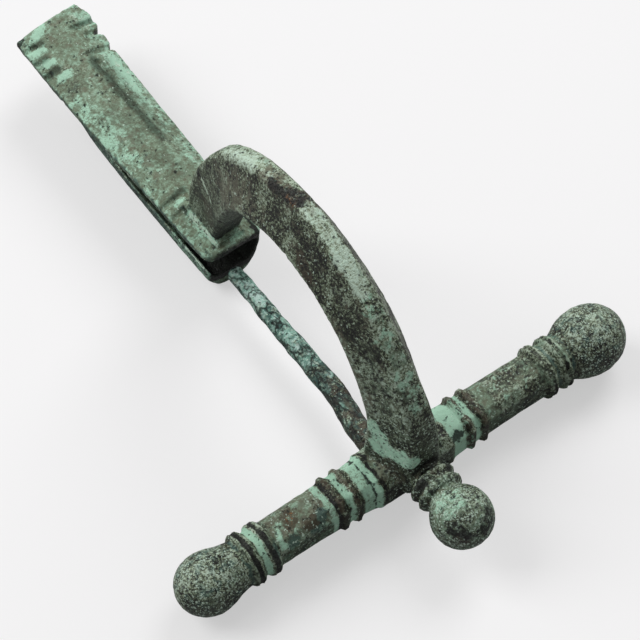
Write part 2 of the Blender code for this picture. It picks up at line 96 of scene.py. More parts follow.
# Coloured streaks on the casting, and streaks of painted shade along its grooves and notches: kind, start
# and end in mm from the crossbar's middle, radius in mm and strength
MARKS = [
    # The foot's notched end
    ("dark", (-3.3, 64.6, 8.3), (-3.2, 63.7, 7.4), 0.8, 0.7),
    ("shade", (-3.2, 63.7, 7.1), (-1.5, 62.7, 8.5), 0.7, 0.9),
    ("shade", (-3.5, 61.0, 8.0), (-2.4, 60.9, 8.2), 0.6, 0.9),
    ("shade", (-3.4, 59.0, 7.9), (-2.2, 59.0, 8.3), 0.7, 1.0),
    ("shade", (2.8, 62.6, 8.1), (4.8, 62.6, 7.3), 0.6, 0.8),
    ("shade", (2.0, 58.7, 8.3), (3.4, 58.7, 7.9), 0.6, 0.8),
    ("mint", (-1.7, 63.8, 8.5), (-0.6, 64.2, 8.5), 1.0, 0.9),
    ("mint", (-2.6, 62.1, 8.3), (-2.0, 62.0, 8.4), 0.7, 0.9),
    ("mint", (-2.6, 60.1, 8.3), (-1.8, 60.0, 8.4), 0.7, 0.9),
    ("mint", (-2.6, 57.7, 8.3), (-1.2, 57.9, 8.4), 0.8, 0.8),
    # The foot's roof
    ("shade", (1.6, 57.8, 8.3), (1.7, 50.5, 8.3), 0.8, 1.0),
    ("shade", (1.7, 52.0, 8.3), (1.6, 44.5, 8.3), 0.7, 0.9),
    ("shade", (2.5, 56.5, 8.0), (2.6, 46.0, 8.0), 1.2, 0.4),
    ("mint", (3.6, 57.5, 7.6), (3.6, 52.0, 7.7), 1.2, 0.5),
    ("shade", (-1.0, 50.0, 8.5), (0.3, 47.0, 8.5), 1.9, 0.3),
    ("shade", (-0.5, 43.0, 8.5), (0.5, 40.5, 8.5), 1.8, 0.3),
    ("mint", (-2.4, 54.0, 8.3), (-2.2, 44.0, 8.3), 1.4, 0.35),
    ("shade", (-3.3, 37.4, 8.4), (-0.6, 37.8, 8.5), 0.7, 1.0),
    ("shade", (-3.3, 35.7, 8.4), (-1.8, 35.5, 8.5), 0.7, 1.0),
    ("mint", (-3.2, 36.5, 8.4), (-1.2, 36.7, 8.5), 0.5, 0.8),
    ("pale", (-1.8, 34.6, 8.7), (-1.8, 29.6, 8.7), 0.6, 0.8),
    ("mint", (-1.9, 34.6, 8.7), (-1.9, 29.6, 8.7), 0.8, 0.9),
    ("mint", (0.3, 29.4, 8.6), (1.0, 30.2, 8.6), 0.9, 0.6),
    # The bow's riser
    ("pale", (-1.3, 33.4, 17.4), (-2.0, 28.2, 15.2), 0.4, 0.9),
    ("dark", (-1.2, 33.9, 17.8), (-1.3, 33.4, 17.2), 0.6, 0.9),
    ("brown", (-1.8, 31.2, 14.2), (-1.8, 30.6, 11.2), 1.7, 0.6),
    # Painted shadow under the bow's arch, on the riser's front
    ("dark", (-1.4, 29.7, 10.2), (0.8, 29.6, 10.4), 1.5, 0.9),
    # The top of the bow
    ("pale", (-0.9, 28.9, 25.5), (-0.7, 23.9, 28.7), 1.2, 0.75),
    ("tan", (-0.4, 22.6, 29.1), (-0.3, 20.8, 29.6), 1.3, 0.8),
    ("dark", (-1.1, 20.9, 29.3), (-0.1, 17.0, 30.0), 1.0, 0.7),
    ("brown", (-0.9, 20.6, 29.4), (0.2, 15.9, 30.0), 1.3, 0.7),
    ("rust", (-0.7, 18.3, 30.0), (-0.5, 17.6, 30.0), 0.7, 0.9),
    ("mint", (0.0, 15.7, 29.9), (-0.1, 10.3, 28.5), 1.4, 0.2),
    ("pale", (0.0, 15.7, 29.9), (-0.1, 10.0, 28.4), 1.4, 0.6),
    ("pale", (-0.2, 9.0, 28.0), (-0.2, 7.0, 26.9), 1.2, 0.75),
    ("mint", (-0.4, 5.8, 26.0), (-0.6, 2.0, 22.0), 1.2, 0.3),
    ("mint", (-0.3, 0.2, 19.6), (0.3, -1.9, 16.7), 1.4, 0.4),
    # The bow's left face
    ("tan", (-2.4, 27.2, 22.0), (-2.2, 24.6, 24.8), 3.0, 0.5),
    ("dark", (-1.8, 18.5, 27.6), (-1.6, 11.5, 26.6), 1.8, 0.3),
    ("dark", (-1.8, 9.0, 25.4), (-1.8, 0.6, 17.3), 1.1, 0.4),
    ("tan", (-3.0, 7.6, 22.2), (-3.1, 1.9, 14.8), 0.9, 0.65),
    ("brown", (-2.8, 12.4, 24.8), (-2.4, 14.4, 26.2), 1.0, 1.0),
    ("dark", (-2.8, 12.6, 25.0), (-2.6, 13.6, 25.6), 0.7, 0.5),
    # The bow's root and the front knob
    ("mint", (-3.1, 0.9, 12.0), (-2.8, -0.4, 9.6), 1.2, 2.0),
    ("mint", (-2.9, 0.2, 9.0), (-1.7, -3.7, 9.5), 1.4, 2.6),
    ("coat", (-2.9, 0.4, 9.4), (-1.7, -3.7, 9.5), 1.4, 1.2),
    ("coat", (-3.4, 1.2, 7.4), (-3.6, -1.2, 6.5), 1.1, 0.6),
    ("tan", (-3.4, 1.2, 7.4), (-3.6, -1.2, 6.5), 1.1, 0.35),
    ("tan", (1.8, -2.5, 14.5), (3.3, -1.5, 7.5), 0.7, 0.8),
    ("mint", (4.9, 0.9, 6.3), (6.3, 0.2, 6.3), 1.6, 0.8),
    ("dark", (5.2, -2.0, 5.7), (5.3, -2.0, 5.6), 0.95, 1.2),
    ("mint", (-0.2, -8.4, 9.1), (-1.6, -9.4, 8.8), 1.9, 0.5),
    ("dark", (-1.9, -5.2, 7.6), (1.9, -5.2, 7.6), 0.7, 0.6),
    ("tan", (-2.9, -1.4, 6.7), (-2.5, -2.0, 6.4), 1.7, 0.7),
    ("dark", (-2.4, -10.9, 8.0), (-1.2, -12.2, 7.2), 1.0, 0.6),
    ("dark", (0.2, -12.6, 7.2), (1.4, -12.0, 7.4), 1.0, 0.5),
    ("brown", (-2.2, -12.0, 7.0), (-1.4, -12.4, 6.8), 1.0, 0.7),
    # The left arm
    ("brown", (-5.3, -0.3, 6.3), (-5.5, -2.2, 5.2), 0.8, 0.8),
    ("brown", (-14.4, -0.2, 6.1), (-13.9, 0.6, 6.1), 1.2, 0.6),
    ("rust", (-14.2, -0.1, 6.1), (-13.7, 0.3, 6.1), 0.6, 0.45),
    ("brown", (-12.9, -1.5, 5.9), (-12.3, -1.3, 6.0), 0.8, 0.9),
    ("teal", (-10.9, -1.5, 6.0), (-12.3, -2.1, 5.4), 0.9, 0.9),
    ("teal", (-14.8, -1.8, 5.6), (-15.6, -2.1, 5.2), 0.9, 0.8),
    ("mint", (-16.0, -0.6, 6.1), (-16.2, -1.8, 5.4), 0.6, 0.9),
    ("teal", (-17.1, -1.6, 6.3), (-17.1, -2.4, 5.6), 0.6, 0.9),
]

# Coloured bands across both arms: from and to in mm from the bow's middle, kind and strength
ARM_BANDS = [
    (4.7, 6.5, "mint", 0.8), (4.7, 6.5, "coat", 0.9), (6.6, 7.5, "brown", 0.6),
    (6.6, 7.5, "dark", 0.2), (7.55, 8.25, "mint", 1.0), (8.4, 9.35, "brown", 0.6),
    (8.4, 9.35, "dark", 0.2), (17.35, 17.85, "dark", 0.6), (19.35, 19.85, "dark", 0.6),
    (20.3, 20.75, "teal", 0.6), (20.9, 21.8, "tan", 0.3),
]
# Bands on the left arm alone and on the right arm alone
LEFT_BANDS = [
    (3.95, 4.2, "dark", 1.1), (4.35, 4.95, "mint", 0.8), (5.05, 5.3, "dark", 0.8),
    (9.35, 9.6, "dark", 0.8), (9.65, 10.4, "mint", 0.7), (17.3, 17.9, "dark", 0.5),
    (18.1, 18.8, "mint", 0.9), (19.3, 19.9, "dark", 0.5),
]
RIGHT_BANDS = [
    (4.7, 6.3, "mint", 0.2), (6.5, 7.2, "mint", 0.3), (9.4, 11.0, "coat", 0.3),
    (18.2, 18.7, "teal", 0.8),
]
# How softly a band ends, and how far its edges wander and on what scale, in mm
SOFT_BAND = 0.12
SHARP_BAND = 0.08
BAND_WANDER = 0.18
BAND_WANDER_SIZE = 1.1
# How far a streak wanders, as a share of its radius, on what scale in mm, and how full its core is
MARK_WANDER = 0.45
MARK_WANDER_SIZE = 1.3
MARK_CORE = 1.6

# Regions of the casting: name, limits, and the strength of each kind of patina there. A region is the
# product of its limits. A limit is an earlier region, or with a minus all that lies outside it, or a
# measure and the two values between which it climbs from 0 to 1. x, y and z are mm from the crossbar's
# middle, side is the distance from the bow's middle, right and up say how far a face turns that way,
# and turn says how far it turns to either side.
REGIONS = [
    ("foot", [("y", 28.6, 29.4), ("z", 9.9, 9.2)], {}),
    ("roof", ["foot", ("up", 0.3, 0.6), ("z", 5.4, 6.2)], {"coat": 0.95, "mint": 0.12}),
    ("roof_middle", ["roof", ("side", 2.6, 1.6)], {"tan": 0.3}),
    ("roof_sides", ["roof", ("side", 2.0, 3.4)], {"mint": 0.35}),
    ("roof_right", ["roof", ("x", 2.4, 3.2)], {"pale": 0.25}),
    ("foot_walls", ["foot", "-roof"], {"coat": 0.55, "mint": 0.25}),
    ("foot_left", ["foot", ("right", -0.3, -0.7)], {"coat": -0.1, "teal": 0.5, "dark": 0.2}),
    # The catch's opening: painted near-black patina and painted shade, standing for the shadow under the
    # foot's plate
    ("mouth_shadow", [("y", 28.2, 28.6), ("y", 36.0, 34.0), ("z", 7.75, 7.45), ("z", 1.5, 2.3),
               ("x", -2.6, -2.2), ("x", 3.6, 3.3)], {"dark": 1.5, "shade": 1.0}),
    ("lip", ["foot", ("z", 5.2, 4.7), ("x", -2.0, -2.4), ("y", 60.0, 50.0)], {"teal": 0.3}),
    ("lip_front", ["lip", ("y", 40.0, 31.0)], {"mint": 0.3}),
    ("lip_rim", ["lip", ("z", 3.78, 4.02), ("z", 4.62, 4.38), ("y", 38.0, 31.0)], {"pale": 0.9}),

    ("bar", [("z", 8.6, 7.8), ("y", 4.0, 3.5), ("side", 3.4, 3.9)], {}),
    ("knob", ["bar", ("side", 20.7, 21.3)],
     {"coat": 0.2, "mint": 0.1, "teal": 0.3, "dark": 0.12, "specks": 0.5}),
    # Pale on the knobs' tops: pale wear, and a painted highlight where the light falls from above
    ("knob_top_wear_and_highlight", ["knob", ("up", 0.2, 0.8)], {"pale": 0.24}),
    ("collar", ["bar", ("side", 16.58, 16.82), ("side", 20.82, 20.58)], {"coat": 0.32, "mint": 0.12}),
    ("arm", ["bar", ("side", 9.48, 9.72), ("side", 16.82, 16.58)], {"mint": 0.16, "specks": 0.14}),
    ("arm_top", ["arm", ("up", 0.2, 0.7)], {"brown": 0.12}),
    ("arm_crown", ["arm", ("up", 0.5, 0.8)], {"tan": 0.3}),
    ("arm_walls", ["arm", ("up", 0.7, 0.2)], {"teal": 0.25}),
    ("left_arm", ["arm", ("x", 0.0, -1.0)], {"coat": 0.62}),
    ("left_arm_crown", ["left_arm", ("up", 0.5, 0.8)], {"tan": 0.3}),
    ("right_arm", ["arm", ("x", 0.0, 1.0)], {"coat": 0.36}),

    ("bow", ["-foot", "-bar"], {}),
    ("bow_top", ["bow", ("up", 0.2, 0.7)], {"specks": 0.1}),
    ("bow_left", ["bow", ("right", -0.2, -0.7)], {"tan": 0.22}),
    ("bow_left_middle", ["bow", ("right", -0.3, -0.7), ("z", 9.0, 16.0), ("z", 25.0, 18.0),
                         ("y", 20.0, 15.0)], {"pale": 0.42, "coat": 0.3}),
    ("bow_ridge", ["bow", ("up", 0.3, 0.6), ("turn", 0.45, 0.25), ("y", -3.5, -2.5)],
     {"mint": 0.16, "coat": 0.4, "pale": 0.3}),
    ("bow_root", ["bow", ("z", 17.0, 11.0), ("y", 8.0, 4.0)], {"specks": 0.3, "dark": 0.2}),
    ("front_neck", ["bow", ("y", -3.4, -4.2)], {"coat": 0.2}),
    ("front_rings", ["bow", ("y", -7.32, -7.08), ("y", -4.48, -4.72), ("z", 12.0, 10.0)],
     {"brown": 0.3, "dark": 0.1}),
    ("front_knob", [("y", -5.6, -6.2), ("z", 12.0, 10.0)], {"mint": 0.1, "coat": 0.32, "specks": 0.34}),
]
SPECKS_ANYWHERE = 0.03

# The kinds of patina on the casting, and its painted shade
KINDS = ("mint", "pale", "tan", "brown", "dark", "teal", "specks", "rust", "coat", "shade")

# The way that the lit side faces, and how painted shade sets in as faces turn from it
LIT_SIDE = (0.25, 0.5, 0.83)
SHADE_SETS_IN = (0.6, -0.5)
PALE_SPARED_SHADE = 0.8

# Rays that test how shut in a point is, their start and reach in mm, and the flattest that counts
SHELTER_RAYS = 36
SHELTER_LIFT = 0.3
SHELTER_REACH = 3.0
SHELTER_GRAZING = 0.2

# How much rubbed edges show, and the stretch of the pin, in mm, over which its crust turns pale
CASTING_EDGE_GAIN = 16.0
PIN_EDGE_GAIN = 10.0
PIN_OUTER = (9.0, 17.0)

# Looks of the patina: size in mm and seed of the noise of each grain, and the steps, which are the
# values of the tone at which one colour gives way to the next
GRAINS = {"fine": (0.28, 0.0), "sand": (0.13, 23.0), "broad": (2.2, 11.0), "cloudy": (0.6, 101.0)}
GRAIN_MIDDLE = 0.5
CELL_MIDDLE = 0.42
DARK_STEPS = (0.43, 0.49, 0.55)
COAT_STEPS = (0.39, 0.50, 0.60)
MINT_STEPS = (0.38, 0.46, 0.55)
PALE_STEPS = (0.40, 0.48, 0.58)
PALE_GRAIN_STEPS = (0.54, 0.62)
DEEP_STEPS = (0.34, 0.54)
THICK_MINT = (0.7, 1.0)
FRESH_MINT_LIFT = 0.13
DEEP_UNDER_MINT = 0.2
MINT_STRENGTH = 0.85
SPECK_STRENGTH = 0.8
PIT_STRENGTH = 0.75
GLOOM_STRENGTH = 0.9
CRACK_STRENGTH = 0.85
PITS_ANYWHERE = 0.16
PITS_UNDER_COAT = 0.75
SHADED = (0.30, 0.32, 0.30)
BUMP_DEPTH = 0.11 * MM
WORN_ROUGHNESS = 0.42
POWDER_ROUGHNESS = 0.8
BRONZE_GLOSS = 0.4

# The stage: the floor's paper, the places of the two lights in metres, and the camera
PAPER_ROUGHNESS = 0.9
PAPER_GLOSS = 0.2
LEFT_WINDOW = (-0.41, 0.48, 0.57)
RIGHT_WINDOW = (0.57, 0.27, 0.62)
SENSOR_WIDTH = 36.0
NEAR_CLIP = 0.01
BLACK = (0.0, 0.0, 0.0)
WHITE = (1.0, 1.0, 1.0)


class BroochSizes(bpy.types.PropertyGroup):
    """Sizes of the crust on the casting and the pin."""
    casting_cell: length("Casting cell", "Size of one face of the casting's fine surface", 0.23)
    pin_cell: length("Pin cell", "Size of one face of the pin's fine surface", 0.12)
    lump_depth: length("Lump depth", "Depth of the broad dents in the casting", 0.07)
    grain_depth: length("Grain depth", "Depth of the fine roughness of the casting", 0.05)
    pit_depth: length("Pit depth", "Depth of the corrosion pits", 0.14)
    edge_wear: length("Edge wear", "How far the sharp edges are rubbed down", 0.06)
    crust_depth: length("Pin crust depth", "Depth of the cracks and lumps in the pin's crust", 0.28)


class BroochColours(bpy.types.PropertyGroup):
    """Colours of the bronze and its patina."""
    # Stands for soiling, and also for painted shade deep in the grooves and hollows and painted shadow in
    # the catch's opening
    soot_and_shade: colour("Soot", "Dirt in the grooves", paint(10, 12, 9))
    black: colour("Black", "Deepest part of the dark patina", paint(13, 16, 10))
    olive: colour("Olive", "Dark olive patina", paint(66, 73, 53))
    grey: colour("Grey green", "Lighter grains in the patina", paint(125, 138, 111))
    pale: colour("Pale", "Palest grains and bare edges", paint(186, 204, 182))
    speck: colour("Speck", "Small pale specks", paint(204, 228, 210))
    mint_bright: colour("Bright mint", "Fresh mint crust", paint(182, 226, 200))
    mint: colour("Mint", "Powdery mint crust", paint(154, 186, 162))
    sage: colour("Sage", "Even green coat", paint(130, 149, 126))
    drab: colour("Drab", "Brownish parts of the even coat", paint(110, 118, 96))
    pin_green: colour("Pin green", "Middle tone of the pin's crust", paint(104, 144, 130))
    pin_mint: colour("Pin mint", "Light tone of the pin's crust", paint(154, 198, 182))
    pin_bright: colour("Pin bright", "Palest tone of the pin's crust", paint(196, 222, 214))
    tan: colour("Tan", "Bare metal tan", paint(112, 110, 92))
    brown: colour("Brown", "Brown oxide", paint(76, 66, 50))
    rust: colour("Rust", "Orange oxide", paint(140, 98, 58))
    teal: colour("Teal", "Blue green crust", paint(66, 100, 94))


class StudioSettings(bpy.types.PropertyGroup):
    """Camera, floor and lights."""
    camera_place: FloatVectorProperty(name="Camera place", description="Where the camera stands",
                                      subtype="TRANSLATION", unit="LENGTH",
                                      default=(-0.11311, -0.16515, 0.30517))
    azimuth: FloatProperty(name="Azimuth", description="Turn of the view about the vertical",
                           subtype="ANGLE", unit="ROTATION", default=math.radians(-36.4))
    elevation: FloatProperty(name="Elevation", description="Height of the view above the floor",
                             subtype="ANGLE", unit="ROTATION", default=math.radians(57.0))
    lens: FloatProperty(name="Lens", description="Focal length in mm", min=1.0, default=193.92)
    floor_size: FloatProperty(name="Floor size", description="Side of the pale floor",
                              subtype="DISTANCE", unit="LENGTH", min=0.1, default=3.0)
    floor_colour: colour("Floor colour", "Colour of the pale floor", paint(181, 180, 181))
    floor_glow: FloatProperty(name="Floor glow", min=0.0, default=0.495,
                              description="Light that the floor adds where the camera sees it")
    left_power: FloatProperty(name="Left light", description="Power of the light from the upper left",
                              subtype="POWER", unit="POWER", min=0.0, default=4.2)
    right_power: FloatProperty(name="Right light", description="Power of the light from the upper right",
                               subtype="POWER", unit="POWER", min=0.0, default=3.7)
    window_size: FloatProperty(name="Light size", description="Side of each square light",
                               subtype="DISTANCE", unit="LENGTH", min=0.01, default=0.52)
    world_strength: FloatProperty(name="Room light", description="Strength of the even light of the room",
                                  min=0.0, default=0.25)


def node(tree, kind, **values):
    """Add a shader node and set its own values."""
    item = tree.nodes.new(kind)
    for name, value in values.items():
        setattr(item, name, value)
    return item


def feed(tree, socket, source):
    """Link a source to a socket, or set the socket to a plain value."""
    if isinstance(source, bpy.types.NodeSocket):
        tree.links.new(source, socket)
    elif hasattr(source, "__len__") and len(source) == 3 and len(socket.default_value) == 4:
        socket.default_value = (*source, 1.0)
    else:
        socket.default_value = source


def math_node(tree, operation, a, b):
    """The result of a Math node."""
    item = node(tree, "ShaderNodeMath", operation=operation)
    feed(tree, item.inputs[0], a)
    feed(tree, item.inputs[1], b)
    return item.outputs[0]


def product(tree, a, b):
    """Two values multiplied with each other."""
    return math_node(tree, "MULTIPLY", a, b)


def weighed_sum(tree, *parts):
    """The sum of values, each times its weight."""
    total = None
    for value, weight in parts:
        part = value if weight == 1.0 else product(tree, value, weight)
        total = part if total is None else math_node(tree, "ADD", total, part)
    return total


def vector_node(tree, operation, a, b):
    """The result of a Vector Math node."""
    item = node(tree, "ShaderNodeVectorMath", operation=operation)
    feed(tree, item.inputs[0], a)
    feed(tree, item.inputs["Scale" if operation == "SCALE" else 1], b)
    return item.outputs[0]


def ease(tree, value, low, high, out_low=0.0, out_high=1.0):
    """The value eased from one range to another."""
    item = node(tree, "ShaderNodeMapRange", interpolation_type="SMOOTHSTEP")
    for name, source in (("Value", value), ("From Min", low), ("From Max", high),
                         ("To Min", out_low), ("To Max", out_high)):
        feed(tree, item.inputs[name], source)
    return item.outputs[0]


def blend(tree, factor, a, b, mode="MIX"):
    """Two colours mixed by a factor."""
    item = node(tree, "ShaderNodeMix", data_type="RGBA", blend_type=mode)
    feed(tree, item.inputs[0], factor)
    feed(tree, item.inputs[6], a)
    feed(tree, item.inputs[7], b)
    return item.outputs[2]


def new_group(name, inputs, outputs):
    """An empty node group with its sockets, and its input and output nodes."""
    tree = bpy.data.node_groups.new(name, "ShaderNodeTree")
    for label, kind, value in inputs:
        socket = tree.interface.new_socket(label, in_out="INPUT", socket_type=kind)
        if value is not None:
            socket.default_value = value
    for label, kind in outputs:
        tree.interface.new_socket(label, in_out="OUTPUT", socket_type=kind)
    return tree, node(tree, "NodeGroupInput").outputs, node(tree, "NodeGroupOutput").inputs


def use_group(tree, group, **values):
    """Place a node group in a material and set or link its inputs by name."""
    item = node(tree, "ShaderNodeGroup", node_tree=group)
    for name, source in values.items():
        feed(tree, item.inputs[name], source)
    return item.outputs


def speckle_group():
    """Grains or blotches of one size that cover a given share of the surface."""
    tree, given, result = new_group("patina_speckle", [
        ("Place", "NodeSocketVector", None), ("Size", "NodeSocketFloat", 0.3),
        ("Cover", "NodeSocketFloat", 0.5), ("Soft", "NodeSocketFloat", 0.05),
        ("Seed", "NodeSocketFloat", 0.0)], [("Mask", "NodeSocketFloat"), ("Grain", "NodeSocketFloat")])
    shifted = vector_node(tree, "ADD", given["Place"], given["Seed"])
    texture = node(tree, "ShaderNodeTexNoise")
    feed(tree, texture.inputs["Vector"], shifted)
    feed(tree, texture.inputs["Scale"], math_node(tree, "DIVIDE", 1.0, given["Size"]))
    texture.inputs["Detail"].default_value = 3.0
    texture.inputs["Roughness"].default_value = 0.6
    level = node(tree, "ShaderNodeMapRange", clamp=False)
    feed(tree, level.inputs["Value"], given["Cover"])
    level.inputs["To Min"].default_value = 0.72
    level.inputs["To Max"].default_value = 0.28
    low = math_node(tree, "SUBTRACT", level.outputs[0], given["Soft"])
    high = math_node(tree, "ADD", level.outputs[0], given["Soft"])
    feed(tree, result["Mask"], ease(tree, texture.outputs["Fac"], low, high))
    feed(tree, result["Grain"], texture.outputs["Fac"])
    return tree


def specks_group():
    """Small separate spots that fall on a given share of the surface."""
    tree, given, result = new_group("patina_specks", [
        ("Place", "NodeSocketVector", None), ("Size", "NodeSocketFloat", 0.4),
        ("Cover", "NodeSocketFloat", 0.2), ("Seed", "NodeSocketFloat", 0.0)], [("Mask", "NodeSocketFloat")])
    shifted = vector_node(tree, "ADD", given["Place"], given["Seed"])
    wobble = node(tree, "ShaderNodeTexNoise")
    feed(tree, wobble.inputs["Vector"], shifted)
    wobble.inputs["Scale"].default_value = 4.0
    moved = vector_node(tree, "ADD", shifted, vector_node(tree, "SCALE", wobble.outputs["Color"], 0.5))
    cells = node(tree, "ShaderNodeTexVoronoi", feature="F1")
    feed(tree, cells.inputs["Vector"], moved)
    feed(tree, cells.inputs["Scale"], math_node(tree, "DIVIDE", 1.0, given["Size"]))
    chosen = math_node(tree, "LESS_THAN", node_red(tree, cells.outputs["Color"]), given["Cover"])
    spot = ease(tree, cells.outputs["Distance"], 0.30, 0.50, 1.0, 0.0)
    feed(tree, result["Mask"], product(tree, chosen, spot))
    return tree


def crack_group():
    """Crust broken into cells by thin cracks."""
    tree, given, result = new_group("crust_cracks", [
        ("Place", "NodeSocketVector", None), ("Size", "NodeSocketFloat", 0.8),
        ("Width", "NodeSocketFloat", 0.12)], [("Cracks", "NodeSocketFloat"), ("Cell", "NodeSocketFloat")])
    wobble = node(tree, "ShaderNodeTexNoise")
    feed(tree, wobble.inputs["Vector"], given["Place"])
    wobble.inputs["Scale"].default_value = 1.6
    wobble.inputs["Detail"].default_value = 2.0
    moved = vector_node(tree, "ADD", given["Place"],
                        vector_node(tree, "SCALE", wobble.outputs["Color"], 1.0))
    scale = math_node(tree, "DIVIDE", 1.0, given["Size"])
    edges = node(tree, "ShaderNodeTexVoronoi", feature="DISTANCE_TO_EDGE")
    cells = node(tree, "ShaderNodeTexVoronoi", feature="F1")
    for item in (edges, cells):
        feed(tree, item.inputs["Vector"], moved)
        feed(tree, item.inputs["Scale"], scale)
    feed(tree, result["Cracks"], ease(tree, edges.outputs["Distance"], 0.0, given["Width"], 1.0, 0.0))
    feed(tree, result["Cell"], node_red(tree, cells.outputs["Color"]))
    return tree


def node_red(tree, source):
    """The red channel of a colour."""
    item = node(tree, "ShaderNodeSeparateColor")
    feed(tree, item.inputs[0], source)
    return item.outputs[0]


def channels(tree, name):
    """The four channels of a surface attribute."""
    item = node(tree, "ShaderNodeAttribute", attribute_name=name, attribute_type="GEOMETRY")
    split = node(tree, "ShaderNodeSeparateColor")
    feed(tree, split.inputs[0], item.outputs["Color"])
    return split.outputs[0], split.outputs[1], split.outputs[2], item.outputs["Alpha"]


def three_tones(tree, value, places, tones):
    """Three colours laid one after another along a value."""
    first, second, third = places
    lower = blend(tree, ease(tree, value, first, second), tones[0][:], tones[1][:])
    return blend(tree, ease(tree, value, second, third), lower, tones[2][:])


def make_patina(name, colours, tones, crusted):
    """The bronze's patina: dark grains, tan and brown wear, and powdery mint crust in the hollows, with
    painted shade on faces turned from the lights and in the grooves.
    """
    speckle, specks, cracks = (bpy.data.node_groups.get(label) or make() for label, make in (
        ("patina_speckle", speckle_group), ("patina_specks", specks_group), ("crust_cracks", crack_group)))
    material = bpy.data.materials.new(name)
    material.use_nodes = True
    tree = material.node_tree
    shader = tree.nodes["Principled BSDF"]
    spot = vector_node(tree, "SCALE", node(tree, "ShaderNodeTexCoord").outputs["Object"], 1.0 / MM)
    mint_zone, pale_zone, tan_zone, brown_zone = channels(tree, "bloom")
    # Rubbed edges, a shelter that darkens hollows as soiling and painted shade, dark patches that include
    # painted shadow, and teal
    edge, dirt_and_shade, dark_and_shadow_zone, teal_zone = channels(tree, "wear")
    # The last of these four channels is painted shade: faces turned from the lights, grooves, and the
    # catch's opening
    speck_zone, rust_zone, coat_zone, shade_zone = channels(tree, "finish_and_shade")

    def patch(zone, size, soft, seed, strength=1.0, whole=0.25, cover=None):
        """Blotches that fill a zone up to a strength, and fade where the zone is thin."""
        mask = use_group(tree, speckle, Place=spot, Size=size, Soft=soft, Seed=seed,
                         Cover=zone if cover is None else cover)["Mask"]
        return product(tree, mask, ease(tree, zone, 0.0, whole, 0.0, strength))

    # Dark olive bronze with fine grains, lighter or darker in broad clouds
    fine, sand, broad, cloudy = (use_group(tree, speckle, Place=spot, Size=size, Seed=seed)["Grain"]
                                 for size, seed in GRAINS.values())
    cloud = math_node(tree, "SUBTRACT", broad, GRAIN_MIDDLE)
    tone = weighed_sum(tree, (fine, 0.6), (sand, 0.4), (cloud, 0.4), (edge, 0.07))
    surface = three_tones(tree, tone, DARK_STEPS, (colours.black, colours.olive, colours.grey))
    surface = blend(tree, ease(tree, tone, *PALE_GRAIN_STEPS), surface, colours.pale[:])

    # A thin even coat, mottled from drab through sage to mint, and on the pin from plate to plate
    mottle = weighed_sum(tree, (cloudy, 0.55), (tone, 0.45))
    if crusted:
        drawn_out = vector_node(tree, "MULTIPLY", spot, (1.0, 0.6, 1.0))
        crust = use_group(tree, cracks, Place=drawn_out, Size=1.3, Width=0.15)
        plate = math_node(tree, "SUBTRACT", crust["Cell"], CELL_MIDDLE)
        mottle = weighed_sum(tree, (mottle, 1.0), (plate, 0.4))
    coat = patch(coat_zone, size=2.0, soft=0.16, seed=5.0, strength=0.9, whole=0.3)
    surface = blend(tree, coat, surface, three_tones(tree, mottle, COAT_STEPS, tones[:3]))

    # Tan wear, teal tint, and brown and orange oxide
    for zone, size, soft, seed, strength, tint in (
            (tan_zone, 0.9, 0.1, 47.0, 0.65, colours.tan),
            (teal_zone, 0.9, 0.1, 31.0, 0.7, colours.teal),
            (brown_zone, 0.8, 0.07, 59.0, 0.8, colours.brown),
            (rust_zone, 0.5, 0.07, 67.0, 0.8, colours.rust)):
        surface = blend(tree, patch(zone, size, soft, seed, strength), surface, tint[:])

    # Thick mint patches and pale ones
    mint_cover = weighed_sum(tree, (mint_zone, 1.0), (dirt_and_shade, -0.35))
    patches = patch(mint_zone, size=0.9, soft=0.06, seed=71.0, whole=0.2, cover=mint_cover)
    fresh = math_node(tree, "ADD", tone, ease(tree, mint_zone, *THICK_MINT, 0.0, FRESH_MINT_LIFT))
    surface = blend(tree, product(tree, patches, MINT_STRENGTH), surface,
                    three_tones(tree, fresh, MINT_STEPS, tones[1:]))
    pale = patch(pale_zone, size=0.6, soft=0.1, seed=79.0, strength=0.8)
    surface = blend(tree, pale, surface,
                    three_tones(tree, tone, PALE_STEPS, (colours.grey, colours.pale, colours.speck)))

    # Painted shade on faces turned from the lights, in the grooves and in the catch's opening, then pale
    # specks and dark pits
    surface = blend(tree, shade_zone, surface, SHADED, "MULTIPLY")
    white = use_group(tree, specks, Place=spot, Size=0.24, Cover=speck_zone, Seed=83.0)["Mask"]
    surface = blend(tree, product(tree, white, SPECK_STRENGTH), surface, colours.speck[:])
    bare = math_node(tree, "SUBTRACT", 1.0, product(tree, coat, PITS_UNDER_COAT))
    pit_cover = product(tree, math_node(tree, "ADD", dark_and_shadow_zone, PITS_ANYWHERE), bare)
    pits = use_group(tree, specks, Place=spot, Size=0.34, Cover=pit_cover, Seed=97.0)["Mask"]
    surface = blend(tree, product(tree, pits, PIT_STRENGTH), surface, colours.black[:])

    # Soot in the dark places, painted shadow in the catch's opening, and soiling with painted shade deep in
    # the grooves and hollows
    soot_and_shade = patch(dark_and_shadow_zone, size=0.6, soft=0.1, seed=89.0)
    rough_dirt_and_shade = weighed_sum(tree, (dirt_and_shade, 1.0), (math_node(tree, "SUBTRACT", fine, GRAIN_MIDDLE), 0.8))
    deep = product(tree, ease(tree, rough_dirt_and_shade, *DEEP_STEPS),
                   ease(tree, mint_zone, *THICK_MINT, 1.0, DEEP_UNDER_MINT))
    gloom = product(tree, math_node(tree, "MAXIMUM", soot_and_shade, deep), GLOOM_STRENGTH)
    surface = blend(tree, gloom, surface, colours.soot_and_shade[:])

